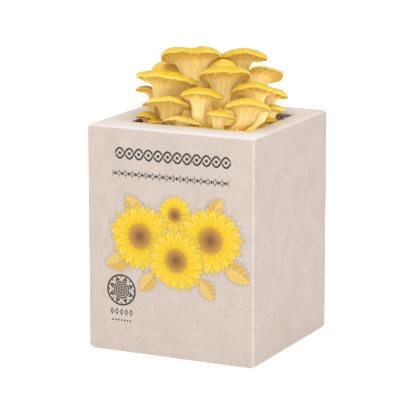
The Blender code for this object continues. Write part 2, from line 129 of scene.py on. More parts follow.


# mushroom_01 and so on
MUSHROOMS = (
    # the crown
    Mushroom((-18.3, 3, 240.4), 26.4, (-4, 2), tilt=17.5, roll=-1.5, dome=0.27, flare=1.1,
             stem=0.37, saddle=0.03, dent=0.06, offset=(0.1, 0),
             waves=((4, 0.035, 180), (3, 0.03, 60)),
             frills=((3, 0.036, 299), (4, 0.016, 290), (6, 0.015, 209), (13, 0.007, 20)),
             furrow=(-0.02, 0.3, 0.075), painted_shade=(0.35, 0, 0)),
    Mushroom((16, 31, 238), 20.3, (13, 19), tilt=11, roll=-1, dome=0.31, flare=0.9, stem=0.32,
             saddle=0.17, offset=(-0.14, 0.15),
             frills=((3, 0.034, 124), (4, 0.03, 354), (6, 0.016, 9)), painted_shade=(0.3, 0.1, 0)),
    Mushroom((17.4, -5.8, 228.5), 22.3, (11.5, -6.2), dome=0.24, flare=1.05, stem=0.32, saddle=0.07,
             offset=(-0.1, 0.15), waves=((4, 0.03, 150), (3, 0.02, 20)),
             frills=((3, 0.026, 195), (4, 0.024, 216), (5, 0.011, 117), (6, 0.015, 202)),
             painted_shade=(0.05, 0.15, 0)),
    Mushroom((7.6, 10.5, 230.2), 12.7, (2, 11), facing=20, tilt=8, dome=0.57, painted_light=(0.5, 0.5)),
    Mushroom((35.3, 31.1, 223.2), 16.5, (27, 17), tilt=34, roll=1, dome=0.15, stem=0.5, saddle=0.04,
             offset=(-0.4, 0.05), painted_shade=(0.55, 0.35, 0.1)),
    Mushroom((-44.3, 9.4, 224.6), 17.5, (-20, 0), tilt=-12, roll=-15, dome=0.34, flare=0.8,
             stem=0.38, offset=(0.2, 0.1), painted_light=(0, 1.3), painted_shade=(0.3, 0.3, 0.4)),
    # the shoulders
    Mushroom((-25.5, -26, 224.2), 25.8, (-29, -15), roll=8.5, dome=0.22, flare=0.85, stem=0.33,
             depth=0.85, saddle=0.04, offset=(0, 0.42), waves=((4, 0.035, 90), (5, 0.02, 30)),
             frills=((3, 0.019, 154), (4, 0.01, 280), (6, 0.017, 302), (15, 0.008, 60)),
             painted_shade=(0.35, 0, 0)),
    Mushroom((-48, -19, 211.4), 9.9, (-38.5, -16), roll=10, dome=0.4, flare=0.8, offset=(0.6, 0.2),
             painted_shade=(0.42, 0.42, 0.2)),
    Mushroom((10.5, -35, 214.4), 17.8, (9, -30.5), roll=4, dome=0.33, flare=0.9, saddle=0.07,
             offset=(-0.06, 0.25), frills=((3, 0.025, 280), (4, 0.017, 272), (5, 0.012, 312)),
             painted_shade=(0.2, 0.12, 0)),
    Mushroom((-17, -39.5, 207), 17.8, (-17, -30), roll=5, dome=0.28, flare=0.76, stem=0.48,
             depth=0.85, saddle=0.08, offset=(0.1, 0.4),
             frills=((3, 0.022, 255), (4, 0.018, 293), (5, 0.011, 292)), furrow=(-0.45, 0.18, 0.03),
             painted_light=(0.3, 0.2), painted_shade=(0.8, 0.65, 0)),
    Mushroom((-36.5, -33.5, 203.8), 8.4, (-32, -29), roll=-6, dome=0.28, flare=0.8,
             painted_shade=(0.5, 0.5, 0.1)),
    Mushroom((43, -5, 217), 18.2, (39, 1), tilt=12, roll=1, dome=0.31, flare=0.85, stem=0.33,
             saddle=0.15, offset=(0.12, 0.1),
             frills=((3, 0.017, 164), (4, 0.011, 321), (6, 0.007, 16)), painted_shade=(0.15, 0.1, 0)),
    Mushroom((46.7, 26, 208.2), 12.6, (39, 19), roll=5, stem=0.4, saddle=0.13, offset=(-0.3, 0),
             painted_light=(0.2, 0.2), painted_shade=(0.15, 0.1, 0)),
    Mushroom((48.5, -27.5, 207), 18.4, (39.5, -33.5), roll=3, dome=0.33, flare=0.66, stem=0.45,
             offset=(-0.12, 0), frills=((3, 0.031, 197), (5, 0.006, 270), (6, 0.009, 15)),
             painted_light=(0.2, 0.1), painted_shade=(0.52, 0.5, 0)),
    # round the window's front
    Mushroom((31.2, -40.8, 200), 11.8, (29.5, -42), tilt=10, roll=9, dome=0.3, flare=0.6, stem=0.44,
             saddle=0.05, offset=(-0.14, 0), frills=((3, 0.04, 172), (4, 0.017, 251)),
             painted_light=(0.25, 0.25), painted_shade=(0.36, 0.36, 0)),
    Mushroom((-6.4, -35.5, 191.5), 18.6, (-8, -39), facing=4, tilt=11, roll=2, dome=0.25,
             flare=0.26, depth=0.62, saddle=0.09, offset=(0, 0),
             waves=((3, 0.02, 20), (5, 0.015, 110)), frills=((7, 0.006, 60),), painted_light=(0.6, 0.55)),
    Mushroom((-38.5, -38, 192.3), 9.2, (-37, -40), roll=8, dome=0.56, flare=0.35, saddle=0.06,
             painted_shade=(0.5, 0.5, 0.2)),
    Mushroom((-29, -42, 189.8), 6.8, (-28, -42), tilt=6, roll=2, flare=0.3, saddle=0.05,
             painted_shade=(0.3, 0.3, 0.1)),
    Mushroom((52.8, 13.6, 197.2), 9.6, (48, 10.5), roll=-1, dome=0.54, flare=0.65, stem=0.48,
             offset=(-0.35, 0), painted_light=(0.4, 0.3)),
    Mushroom((52.2, 2.8, 190.2), 7.3, (54.8, 2), tilt=6, roll=-2, flare=0.25, saddle=0.05,
             offset=(0, 0)),
    Mushroom((-5.5, -22, 200.2), 5.6, (-4, -19), tilt=4),
    Mushroom((54.5, -13, 202.5), 7.4, (51.5, -31), tilt=20, roll=12, dome=0.2, flare=0.8, stem=0.78,
             offset=(-0.1, 0), painted_light=(0.8, 0.8)),
    # round the back
    Mushroom((-16.5, 34, 213), 15.5, (-15, 22), facing=205, dome=0.3, flare=0.75, offset=(0, 0.4)),
    Mushroom((13, 41, 202), 11.5, (12, 31), facing=185, dome=0.32, flare=0.6, offset=(0, 0.4)),
    Mushroom((-42, 25, 207), 12, (-35, 20), facing=235, dome=0.35, flare=0.8, offset=(0, 0.3)),
    Mushroom((30, 42, 206), 10, (27, 33), facing=160, dome=0.32, flare=0.8, offset=(0, 0.4)),
    Mushroom((-44.5, 3, 198), 9, (-40, 3), facing=270, dome=0.35, flare=0.6, offset=(0, 0.3)),
    Mushroom((-32, 38.5, 199.5), 9, (-29, 33), facing=215, dome=0.32, flare=0.6, offset=(0, 0.4)),
    Mushroom((-3, 38.5, 197.5), 8, (-2, 33), facing=190, flare=0.5, offset=(0, 0.3)),
    Mushroom((42, 34, 193.5), 7, (41, 33), facing=130, flare=0.4, offset=(0, 0.2)),
)


# ---- shader arithmetic


def linear(colour):
    """Linear values of an 8-bit sRGB colour."""
    shares = (value / 255 for value in colour)
    return [v / 12.92 if v <= 0.04045 else ((v + 0.055) / 1.055) ** 2.4 for v in shares]


def plug(tree, value, slot):
    """Links a wire to an input, or sets the input to a plain number, vector or 8-bit colour."""
    if isinstance(value, Wire):
        tree.links.new(value.socket, slot)
    else:
        slot.default_value = (*linear(value), 1.0) if slot.type == "RGBA" else value


def add_node(tree, kind, slots, output=0, **settings):
    """Adds a node with these inputs and settings, and returns one of its outputs."""
    node = tree.nodes.new("ShaderNode" + kind)
    for key, value in settings.items():
        setattr(node, key, value)
    for key, value in slots.items():
        plug(tree, value, node.inputs[key])
    return Wire(tree, node.outputs[output])


class Wire:
    """A value in a node tree, so that a pattern can be written as plain arithmetic."""

    def __init__(self, tree, socket):
        self.tree, self.socket = tree, socket

    def calc(self, operation, *others):
        slots = dict(enumerate((self, *others)))
        return add_node(self.tree, "Math", slots, operation=operation)

    def __rsub__(self, other):
        return self * -1.0 + other

    def step(self, start, end):
        """0 at start and 1 at end, with a smooth rise between."""
        slots = {"Value": self, "From Min": start, "From Max": end}
        return add_node(self.tree, "MapRange", slots, "Result", interpolation_type="SMOOTHSTEP")


for method, operation in {
    "__add__": "ADD", "__radd__": "ADD", "__sub__": "SUBTRACT", "__mul__": "MULTIPLY",
    "__rmul__": "MULTIPLY", "__truediv__": "DIVIDE", "__pow__": "POWER", "__abs__": "ABSOLUTE",
    "sin": "SINE", "cos": "COSINE", "arctan2": "ARCTAN2", "sign": "SIGN", "floor": "FLOOR",
    "fold": "PINGPONG", "least": "MINIMUM", "most": "MAXIMUM",
}.items():
    setattr(Wire, method, partialmethod(Wire.calc, operation))


class Paint:
    """A material's node tree, with short calls for its nodes. The coat is its colour so far."""

    def __init__(self, name, roughness, specular, **sockets):
        self.material = bpy.data.materials.new(name)
        self.material.use_nodes = True
        self.tree = self.material.node_tree
        self.add = partial(add_node, self.tree)
        self.shader = self.tree.nodes["Principled BSDF"].inputs
        sockets |= {"Roughness": roughness, "Specular_IOR_Level": specular}
        for key, value in sockets.items():
            self.shader[key.replace("_", " ")].default_value = value
        self.coat = None

    def stored(self, name, output="Fac"):
        """A value that the mesh holds at each point."""
        return self.add("Attribute", {}, output, attribute_name=name)

    def split(self, vector):
        parts = self.add("SeparateXYZ", {0: vector}).socket.node.outputs
        return [Wire(self.tree, part) for part in parts]

    def place(self):
        """Object coordinates, as a vector in metres and three numbers in millimetres."""
        vector = self.add("TexCoord", {}, "Object")
        return vector, *(part * (1 / MM) for part in self.split(vector))

    def cloud(self, vector, scale, detail=3.0, roughness=0.5):
        """Noise from 0 to 1."""
        slots = {"Vector": vector, "Scale": scale, "Detail": detail, "Roughness": roughness}
        return self.add("TexNoise", slots)

    def streaks(self, vector, scale, detail, roughness=0.5, shift=(0, 0, 0)):
        """Noise with a scale of its own along each axis."""
        slots = {"Vector": vector, "Scale": scale, "Location": shift}
        return self.cloud(self.add("Mapping", slots), 1.0, detail, roughness)

    def ramp(self, value, stops):
        wire = self.add("ValToRGB", {0: value})
        elements = wire.socket.node.color_ramp.elements
        while len(elements) < len(stops):
            elements.new(1.0)
        for element, (where, colour) in zip(elements, stops):
            element.position = where
            element.color = (*linear(colour), 1.0)
        return wire

    def mix(self, share, first, second):
        return self.add("Mix", {0: share, 6: first, 7: second}, 2, data_type="RGBA")

    def lay(self, share, colour):
        """Lays a colour over the coat."""
        self.coat = self.mix(share, self.coat, colour)

    def bump(self, height, distance, strength):
        slots = {"Height": height, "Distance": distance, "Strength": strength}
        plug(self.tree, self.add("Bump", slots), self.shader["Normal"])

    def done(self):
        plug(self.tree, self.coat, self.shader["Base Color"])
        return self.material


# ---- meshes


def add_object(name, data):
    made = bpy.data.objects.new(name, data)
    bpy.context.scene.collection.objects.link(made)
    return made


def mesh_of(name, bm):
    mesh = bpy.data.meshes.new(name)
    bm.to_mesh(mesh)
    bm.free()
    return mesh


def closed_mesh(name, rings, foot, crown):
    """A skin over rings of points, each with as many as the one below it or with half as many."""
    points = np.concatenate([*rings, [foot], [crown]])
    starts = np.cumsum([0] + [len(ring) for ring in rings]).tolist()
    rows = [range(*ends) for ends in zip(starts, starts[1:])]
    foot_id, crown_id = len(points) - 2, len(points) - 1
    faces = []
    for low, high in zip(rows, rows[1:]):
        for j in range(len(high)):
            k = (j + 1) % len(high)
            if len(low) == len(high):
                faces.append((low[j], low[k], high[k], high[j]))
            else:
                a, b, c = low[2 * j], low[2 * j + 1], low[2 * k]
                faces += [(a, b, high[j]), (b, high[k], high[j]), (b, c, high[k])]
    first, last = rows[0], rows[-1]
    faces += [(first[(j + 1) % len(first)], first[j], foot_id) for j in range(len(first))]
    faces += [(last[j], last[(j + 1) % len(last)], crown_id) for j in range(len(last))]
    mesh = bpy.data.meshes.new(name)
    mesh.from_pydata(points.tolist(), [], faces)
    return mesh


def tree_of(mesh):
    return BVHTree.FromPolygons([v.co for v in mesh.vertices], [p.vertices for p in mesh.polygons])


def modify(target, kind, **settings):
    modifier = target.modifiers.new(kind, kind)
    for key, value in settings.items():
        setattr(modifier, key, value)


def subtract(target, cutters, solver="MANIFOLD"):
    for cutter in cutters:
        modify(target, "BOOLEAN", operation="DIFFERENCE", solver=solver, object=cutter)


def evaluated_mesh(obj):
    """The object's mesh with its modifiers applied."""
    bpy.context.view_layer.update()
    graph = bpy.context.evaluated_depsgraph_get()
    return bpy.data.meshes.new_from_object(obj.evaluated_get(graph))


def finish_piece(name, mesh, materials, sharp, node):
    """The fine piece for one node, from a mesh in millimetres."""
    mesh.transform(Matrix.Diagonal((MM, MM, MM, 1)))
    mesh.shade_smooth()
    mesh.set_sharp_from_angle(angle=math.radians(sharp))
    mesh.materials.clear()
    for item in materials:
        mesh.materials.append(item)
    piece = add_object(name, mesh)
    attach(piece, "root")
    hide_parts(node)


def smooth(value, start, end):
    share = np.clip((value - start) / (end - start), 0, 1)
    return share * share * (3 - 2 * share)


# ---- ground under the stems


def base_share(x, y):
    """0 in the middle of the base and 1 on its edge."""
    across = abs(x - BASE_CENTRE[0]) / BASE_HALF_WIDTH
    back = abs(y - BASE_CENTRE[1]) / BASE_HALF_DEPTH
    return (across**BASE_SQUARENESS + back**BASE_SQUARENESS) ** (1 / BASE_SQUARENESS)


def base_height(x, y):
    rise = BASE_RISE * max(0.0, 1 - base_share(x, y) ** BASE_SLOPE)
    return BLOCK_TOP + GAP + BASE_LIP + rise


def block_height(x, y):
    lumps = math.sin(x / 7.1 + 0.6) * math.cos(y / 8.3) + 0.5 * math.sin(x / 4.7 - y / 6.1)
    calm = min(1.0, max(0.0, base_share(x, y) - 1))
    return BLOCK_TOP + BLOCK_LUMP * lumps * calm


def seat_height(x, y):
    return GAP + (base_height(x, y) if base_share(x, y) < 1 else block_height(x, y))


# ---- mushrooms


def cap_axes(m):
    """The cap's own right, back and up directions."""
    facing, tilt, roll = (math.radians(v) for v in (m.facing, m.tilt, m.roll))
    front = Vector((math.sin(facing), -math.cos(facing), 0))
    right = Vector((math.cos(facing), math.sin(facing), 0))
    up = Vector((0, 0, 1)) * math.cos(tilt) - front * math.sin(tilt)
    up = (up * math.cos(roll) + right * math.sin(roll)).normalized()
    right = (right - up * right.dot(up)).normalized()
    return right, up.cross(right), up


def top_height(m, reach):
    dome = m.dome * (1 - reach**2.4) ** 0.75
    return dome - m.dent * math.exp(-((reach / 0.4) ** 2))


def profile(m, detail):
    """The steps up the stem, and then each row of the cap: zone, reach, height and how far it is
    shifted to the stem. The zone is 1 where the gills begin, 2 to 3 round the rim, 4 on the crown.
    """
    stem_count, flare_count, lip, tops = detail
    steps = [i / stem_count for i in range(stem_count)]
    cap = []
    for i in range(flare_count + 1):
        angle = math.radians(90 * i / flare_count)
        inward = max(0.0, math.cos(angle)) ** (2 / FLARE_BEND)
        upward = math.sin(angle) ** (2 / FLARE_BEND)
        belly = BELLY * min(1.0, m.flare / 0.8) * smooth(1 - inward, 0.30, 0.68)
        belly *= 1 - 0.4 * smooth(1 - inward, 0.88, 1.0)
        reach = MARGIN_REACH - (MARGIN_REACH - m.stem) * inward
        cap.append((2 - inward, reach, -m.flare * (1 - upward) - belly, inward))
    for i, (reach, height) in enumerate(lip):
        cap.append((2 + (i + 1) / (len(lip) + 1), reach, height, 0.0))
    for reach in tops:
        cap.append((4 - reach, reach, top_height(m, reach), 0.0))
    return steps, cap


def stem_rows(m, steps, turn):
    """Rings of the stem, from where it stands to where the gills begin."""
    right, back, up = cap_axes(m)
    lift = right * m.offset[0] + back * m.offset[1] - up * m.flare
    neck = Vector(m.cap) + lift * m.radius
    foot = Vector((*m.foot, seat_height(*m.foot)))
    pull = 0.35 * (neck - foot).length
    handles = foot, foot + Vector((0, 0, pull)), neck - up * pull, neck
    rows = []
    for step in steps:
        weights = (1 - step) ** 3, 3 * step * (1 - step) ** 2, 3 * step**2 * (1 - step), step**3
        middle = sum((w * p for w, p in zip(weights, handles)), Vector())
        size = m.radius * m.stem * (FOOT_SHARE + (WAIST_SHARE - FOOT_SHARE) * step)
        lean = up * step + Vector((0, 0, 1)) * (1 - step)
        side = (right - lean * right.dot(lean)).normalized()
        rear = np.array(lean.cross(side))
        ring = np.cos(turn)[:, None] * np.array(side) + np.sin(turn)[:, None] * rear
        rows.append(np.array(middle) + ring * size)
    for point in rows[0]:
        point[2] = seat_height(point[0], point[1])
    return np.array(rows)


def cap_rows(m, reach, height, inward, turn, fringe):
    """Rings of the cap, one for each reach, height and share of the shift to the stem."""
    right, back, up = (np.array(v) for v in cap_axes(m))
    reach, height, inward = (v[:, None] for v in (reach, height, inward))
    lobe = sum(h * np.cos(n * turn + math.radians(phase)) for n, h, phase in m.waves + m.frills)
    wave = lobe - m.saddle * np.cos(2 * turn) + fringe * reach**8
    bulge = reach * (1 + 0.8 * lobe * reach**2)
    spread = 1 + (m.depth - 1) * reach
    across = bulge * np.cos(turn) + inward * m.offset[0]
    behind = bulge * spread * np.sin(turn) + inward * m.offset[1]
    rise = height + wave * reach**2
    if m.furrow:
        place, width, depth = m.furrow
        groove = np.exp(-(((across - place) / width) ** 2)) * (1 - smooth(behind, 0.1, 0.8))
        rise = rise - depth * groove * (height > -0.05)
    hollow = np.exp(-((behind - 0.45) ** 2 + across**2) / HOLLOW_REACH**2)
    rise = rise - HOLLOW * hollow * (inward == 0) * (height > 0)
    step = across[..., None] * right + behind[..., None] * back + rise[..., None] * up
    return np.array(m.cap) + step * m.radius


def bare_skin(m, turn, fringe, detail):
    """Rings of points from the foot to the crown, unit vectors out of the skin, and zones."""
    steps, cap = profile(m, detail)
    zones, *shape = (np.array(values, float) for values in zip(*cap))
    points = np.concatenate([stem_rows(m, steps, turn), cap_rows(m, *shape, turn, fringe)])
    around = np.roll(points, -1, 1) - np.roll(points, 1, 1)
    out = np.cross(around, np.gradient(points, axis=0))
    out /= np.maximum(np.linalg.norm(out, axis=2, keepdims=True), 1e-9)
    return points, out, np.concatenate([steps, zones])[:, None] + 0 * turn


def skin_ends(m, points):
    """The middle of the foot, and the crown's top over the last ring."""
    rise = top_height(m, 0.0) - top_height(m, TOP_REACHES[-1])
    crown = points[-1].mean(0) + np.array(cap_axes(m)[2]) * m.radius * rise
    return np.array((*m.foot, seat_height(*m.foot))), crown


def lumps(points, size, seed):
    """Smooth noise at each point, about -1 to 1, with lumps of this size in mm."""
    flat = points.reshape(-1, 3) / size + seed
    return np.array([noise.noise(Vector(point)) for point in flat]).reshape(points.shape[:-1])


def fine_skin(m, seed):
    """The skin with its gills and its unevenness, and three values that its material reads."""
    gills = round(12 + 2.9 * m.radius)
    columns = gills * POINTS_PER_GILL
    turn = 2 * math.pi * np.arange(columns) / columns
    fringe = sum(height * np.cos(waves * turn + seed * waves) for waves, height in FRINGE)
    points, out, zone = bare_skin(m, turn, fringe, FINE)
    ring = np.linalg.norm(points - points.mean(1, keepdims=True), axis=2).mean(1, keepdims=True)
    spacing = 2 * math.pi * ring / gills
    hold = smooth(zone, 0.5, 1.35) * (1 - smooth(zone, 1.93, 2.0))
    # full blades of uneven height, and short ones between them in the outer half
    uneven = 0.75 + 0.5 * np.random.default_rng(int(seed * 100)).random(columns)
    ridge = np.tile((1, 0.2, 0, 0.2), gills) * uneven
    ridge = ridge + np.tile((0, 0, 0.7, 0), gills) * smooth(zone, 1.35, 1.75)
    relief = np.minimum(0.32 * spacing, 0.5) * hold * (ridge - 0.4)
    furrow = np.cos(5 * turn + seed) + 0.6 * np.cos(8 * turn + 2 * seed)
    relief += 0.012 * m.radius * furrow * (1 - smooth(zone, 1.1, 1.7)) * smooth(zone, 0.0, 0.2)
    relief += 0.35 * lumps(points, 7.0, seed) * smooth(zone, 0.1, 0.4)
    relief += 0.10 * lumps(points, 2.2, seed + 5) * (1 - hold) * smooth(zone, 0.1, 0.4)
    relief[0] = 0
    length = np.linalg.norm(np.diff(points, axis=0), axis=2).mean(1)
    length = np.concatenate([[0], np.cumsum(length)])[:, None]
    stretch, level = 0.2 * m.radius, 0 * zone
    grain = np.stack([np.cos(turn) * stretch + level + seed, np.sin(turn) * stretch + level,
                      length / 12 + level], axis=2)
    return points + out * relief[..., None], zone, ridge * hold, grain


def grown_mesh(name, m, seed):
    """A fine mushroom. The rings near its crown keep every second or fourth of their points."""
    points, zone, ridge, grain = fine_skin(m, seed)
    strides = [4 if ring > 3.4 else 2 if ring > 3.05 else 1 for ring in zone[:, 0]]

    def thin(rows):
        return [row[::stride] for row, stride in zip(rows, strides)]

    def join(rows, foot, crown):
        return np.concatenate([*thin(rows), [foot], [crown]])

    ends = skin_ends(m, points)
    mesh = closed_mesh(name, thin(points), *ends)
    across = (join(points, *ends)[:, 0] - m.cap[0]) / m.radius
    zones = join(zone, 0.0, 4.0)
    below = np.interp(across, (-1, 1), m.painted_shade[:2])
    for key, values in {
        "zone": zones,
        "ridge": join(ridge, 0.0, 0.0),
        "painted_light": np.interp(across, (-1, 1), m.painted_light),
        "painted_shade": below + (m.painted_shade[2] - below) * smooth(zones, 2.6, 3.1),
    }.items():
        mesh.attributes.new(key, "FLOAT", "POINT").data.foreach_set("value", values)
    values = join(grain, grain[0].mean(0), grain[-1].mean(0)).astype(np.float32)
    made = mesh.attributes.new("grain", "FLOAT_VECTOR", "POINT")
    made.data.foreach_set("vector", values.ravel())
    return mesh


def make_presser(m):
    """A coarse and slightly swollen mushroom, which cuts whatever it presses on."""
    turn = 2 * math.pi * np.arange(COARSE_COLUMNS) / COARSE_COLUMNS
    points, out, zone = bare_skin(m, turn, 0, COARSE)
    swell = np.where(zone < 2, SWELL_BELOW, SWELL_ABOVE) + PRESS_GAP
    swell[0] = 0
    points = points + out * swell[..., None]
    return add_object("presser", closed_mesh("presser", points, *skin_ends(m, points)))


def drop_crumbs(mesh):
    """Keeps the main part of a mesh and drops the crumbs that a cut can leave loose."""
    bm = bmesh.new()
    bm.from_mesh(mesh)
    parts, left = [], set(bm.verts)
    while left:
        part = [left.pop()]
        for vert in part:  # the part grows while it is read
            found = left.intersection(v for edge in vert.link_edges for v in edge.verts)
            left -= found
            part += found
        parts.append(part)
    for part in sorted(parts, key=len)[:-1]:
        bmesh.ops.delete(bm, geom=part, context="VERTS")
    bm.to_mesh(mesh)
    bm.free()


def colour_cuts(mesh, whole):
    """Gives the new faces of a cut the values of the skin nearest to them."""
    tree = KDTree(len(whole.vertices))
    for i, vert in enumerate(whole.vertices):
        tree.insert(vert.co, i)
    tree.balance()
    bare = [i for i, item in enumerate(mesh.attributes["zone"].data) if item.value == 0]
    pairs = [(i, tree.find(mesh.vertices[i].co)[1]) for i in bare]
    for key in ("zone", "ridge", "painted_light", "painted_shade", "grain"):
        field = "vector" if key == "grain" else "value"
        source, target = whole.attributes[key].data, mesh.attributes[key].data
        for i, j in pairs:
            setattr(target[i], field, getattr(source[j], field))


def make_mushrooms(flesh):
    """All the mushrooms. Where two crowd each other, the later is cut to lie on the earlier."""
    pressers = [make_presser(m) for m in MUSHROOMS]
    trees = [tree_of(presser.data) for presser in pressers]
    for i, m in enumerate(MUSHROOMS):
        node = f"mushroom_{i + 1:02d}"
        raw = add_object("raw", grown_mesh(node, m, i * SEED_STEP))
        mesh = raw.data
        near = [pressers[j] for j in range(i) if trees[i].overlap(trees[j])]
        if near:
            subtract(raw, near)
            mesh = evaluated_mesh(raw)
            drop_crumbs(mesh)
            colour_cuts(mesh, raw.data)
        bpy.data.objects.remove(raw)
        finish_piece(node + "_grown", mesh, [flesh], 75.0, node)
    return pressers


def flesh_material():
    # the faint emission is a painted glow that lifts the flesh out of its shade
    paint = Paint("mushroom_flesh", 0.55, 0.08, Subsurface_Weight=0.5, Subsurface_Scale=0.003,
                  Subsurface_Radius=(1, 0.92, 0.55), Emission_Color=(1, 0.7, 0.25, 1),
                  Emission_Strength=0.05)
    zone, ridge, painted_light, painted_shade = (paint.stored(key) for key in ("zone", "ridge", "painted_light", "painted_shade"))
    grain = paint.stored("grain", "Vector")
    vector = paint.place()[0]
    streak = paint.streaks(grain, (5, 5, 0.7), 5, 0.65)
    band = paint.streaks(grain, (1.4, 1.4, 0.5), 2)
    fibre = paint.streaks(grain, (3.2, 3.2, 1.8), 4, 0.7)
    fibril = paint.streaks(grain, (9, 9, 0.6), 4, 0.6)
    wander = paint.cloud(vector, 90, 2) - 0.5
    mottle = paint.cloud(vector, 260, 5, 0.65)
    patch = paint.cloud(vector, 70, 3, 0.6)

    # from the foot over the gills and round the rim to the crown, with painted shade under the rim
    # and a cream lip that is partly a painted highlight
    paint.coat = paint.ramp((zone + wander * 0.16) / 4, (
        (0, (234, 192, 72)), (0.05, (243, 208, 98)), (0.12, (252, 229, 146)),
        (0.21, (254, 236, 168)), (0.27, (255, 240, 180)), (0.33, (253, 234, 158)),
        (0.38, (244, 214, 112)), (0.425, (224, 184, 70)), (0.47, (198, 158, 38)),
        (0.498, (198, 158, 42)), (0.515, (226, 200, 120)), (0.56, (236, 212, 144)),
        (0.66, (226, 200, 120)), (0.715, (204, 170, 46)), (0.75, (200, 166, 18)),
        (0.8, (191, 156, 8)), (0.9, (188, 151, 5)),
    ))
    under = 1 - zone.step(1.95, 2.15)
    trunk = 1 - zone.step(1.2, 1.9)
    gills = zone.step(0.9, 1.5)
    top = zone.step(2.9, 3.2)
    rim = zone.step(2, 2.2) * (1 - top)
    # painted shade below the rim, on the mushrooms that are given it
    paint.lay(painted_shade * (1 - zone.step(2.6, 3)), (196, 152, 46))

    # streaks and fibres of the stem and the gills, and painted shade between the gills
    light = streak.step(0.5, 0.7).most(band.step(0.52, 0.7) * 0.7) * under
    paint.lay(light * (trunk * 0.4 + 0.3) * (1 - painted_shade * 0.8), (255, 243, 190))
    dark = (1 - streak.step(0.32, 0.5)).most(0.7 - band.step(0.3, 0.46) * 0.7)
    paint.lay(dark * under * 0.5, (220, 178, 78))
    light = fibre.step(0.5, 0.66) * (band.step(0.35, 0.6) * 0.6 + 0.4)
    paint.lay(light * under * (0.58 - painted_shade * 0.35), (255, 241, 178))
    dark = 1 - fibre.step(0.34, 0.5)
    paint.lay(dark * under * (gills * 0.2 + 0.36), (212, 164, 58))
    # painted shade in the valleys between the gill blades
    paint.lay((1 - ridge.step(0, 0.5)) * gills * under * 0.3, (200, 152, 54))

    # the cap's top and rim, with painted light and painted shade
    light = mottle.step(0.45, 0.7).most(fibril.step(0.5, 0.68))
    paint.lay(light * top * 0.45, (204, 170, 28))
    dark = (1 - mottle.step(0.3, 0.5)).most((1 - fibril.step(0.3, 0.48)) * 0.8)
    paint.lay(dark * top * 0.45, (178, 136, 2))
    paint.lay(zone.step(3.3, 3.9) * patch.step(0.35, 0.65) * 0.5, (174, 134, 14))
    # painted light: the top and the rim made paler where the cap lies in shade
    paint.lay(top * painted_light * 0.85, (240, 206, 88))
    paint.lay(rim * painted_light * 0.7, (255, 242, 180))
    # painted shade on the cap's top
    paint.lay(painted_shade * top, (196, 152, 46))
    paint.bump(mottle * 0.6 + streak * 0.4, 0.0006, 0.35)
    return paint.done()


# ---- carton


def block(low, high, rounding=0.0, segments=6, upright_only=False):
    """A block between two corners, with all its edges or only its upright ones rounded."""
    bm = bmesh.new()
    bmesh.ops.create_cube(bm, size=1.0)
    low, high = Vector(low), Vector(high)
    bmesh.ops.scale(bm, vec=high - low, verts=bm.verts)
    bmesh.ops.translate(bm, vec=(high + low) / 2, verts=bm.verts)
    if rounding:
        edges = [e for e in bm.edges
                 if not upright_only or abs(e.verts[0].co.z - e.verts[1].co.z) > 1.0]
        bmesh.ops.bevel(bm, geom=edges, offset=rounding, segments=segments, profile=0.5,
                        affect="EDGES")
    bmesh.ops.recalc_face_normals(bm, faces=bm.faces)
    return add_object("block", mesh_of("block", bm))


def make_carton(plain, printed, core):
    right, back = CARTON_WIDTH / 2, CARTON_DEPTH / 2
    body = block((-right, -back, 0), (right, back, CARTON_HEIGHT), OUTER_ROUND, segments=8)
    hollow = block((BOARD - right, BOARD - back, BOARD),
                   (right - BOARD, back - BOARD, CARTON_HEIGHT - BOARD),
                   OUTER_ROUND - BOARD, segments=4)
    window = block((WINDOW_LEFT, WINDOW_FRONT, CARTON_HEIGHT - 3 * BOARD),
                   (WINDOW_RIGHT, WINDOW_BACK, CARTON_HEIGHT + BOARD),
                   WINDOW_ROUND, upright_only=True)
    # where the two bottom flaps meet, and where the side panel is glued over the tab
    seam = block((-CARTON_WIDTH, -SEAM / 2, -SEAM), (CARTON_WIDTH, SEAM / 2, SEAM))
    glue_line = block((-right - 1, back - 3 * BOARD, 2 * BOARD),
                      (-right + GLUE_LINE, back - 3 * BOARD + GLUE_LINE, CARTON_HEIGHT - 2 * BOARD))
    cutters = [hollow, window, seam, glue_line]
    subtract(body, cutters, "EXACT")
    modify(body, "BEVEL", limit_method="ANGLE", angle_limit=math.radians(50),
           width=EDGE_BEVEL, segments=2)
    mesh = evaluated_mesh(body)
    for item in [body, *cutters]:
        bpy.data.objects.remove(item)
    materials = [plain, printed, core]
    finish_piece("carton_board", mesh, materials, 60.0, "carton")
    inside = BOARD - 0.1
    for face in mesh.polygons:
        x, y, z = face.center / MM
        deep = abs(x) < right - inside and abs(y) < back - inside
        cut_edge = z > CARTON_HEIGHT / 2 and abs(face.normal.z) < 0.9
        if deep and (inside < z < CARTON_HEIGHT - inside or cut_edge):
            face.material_index = materials.index(core)
        elif face.normal.y < -0.999:
            face.material_index = materials.index(printed)


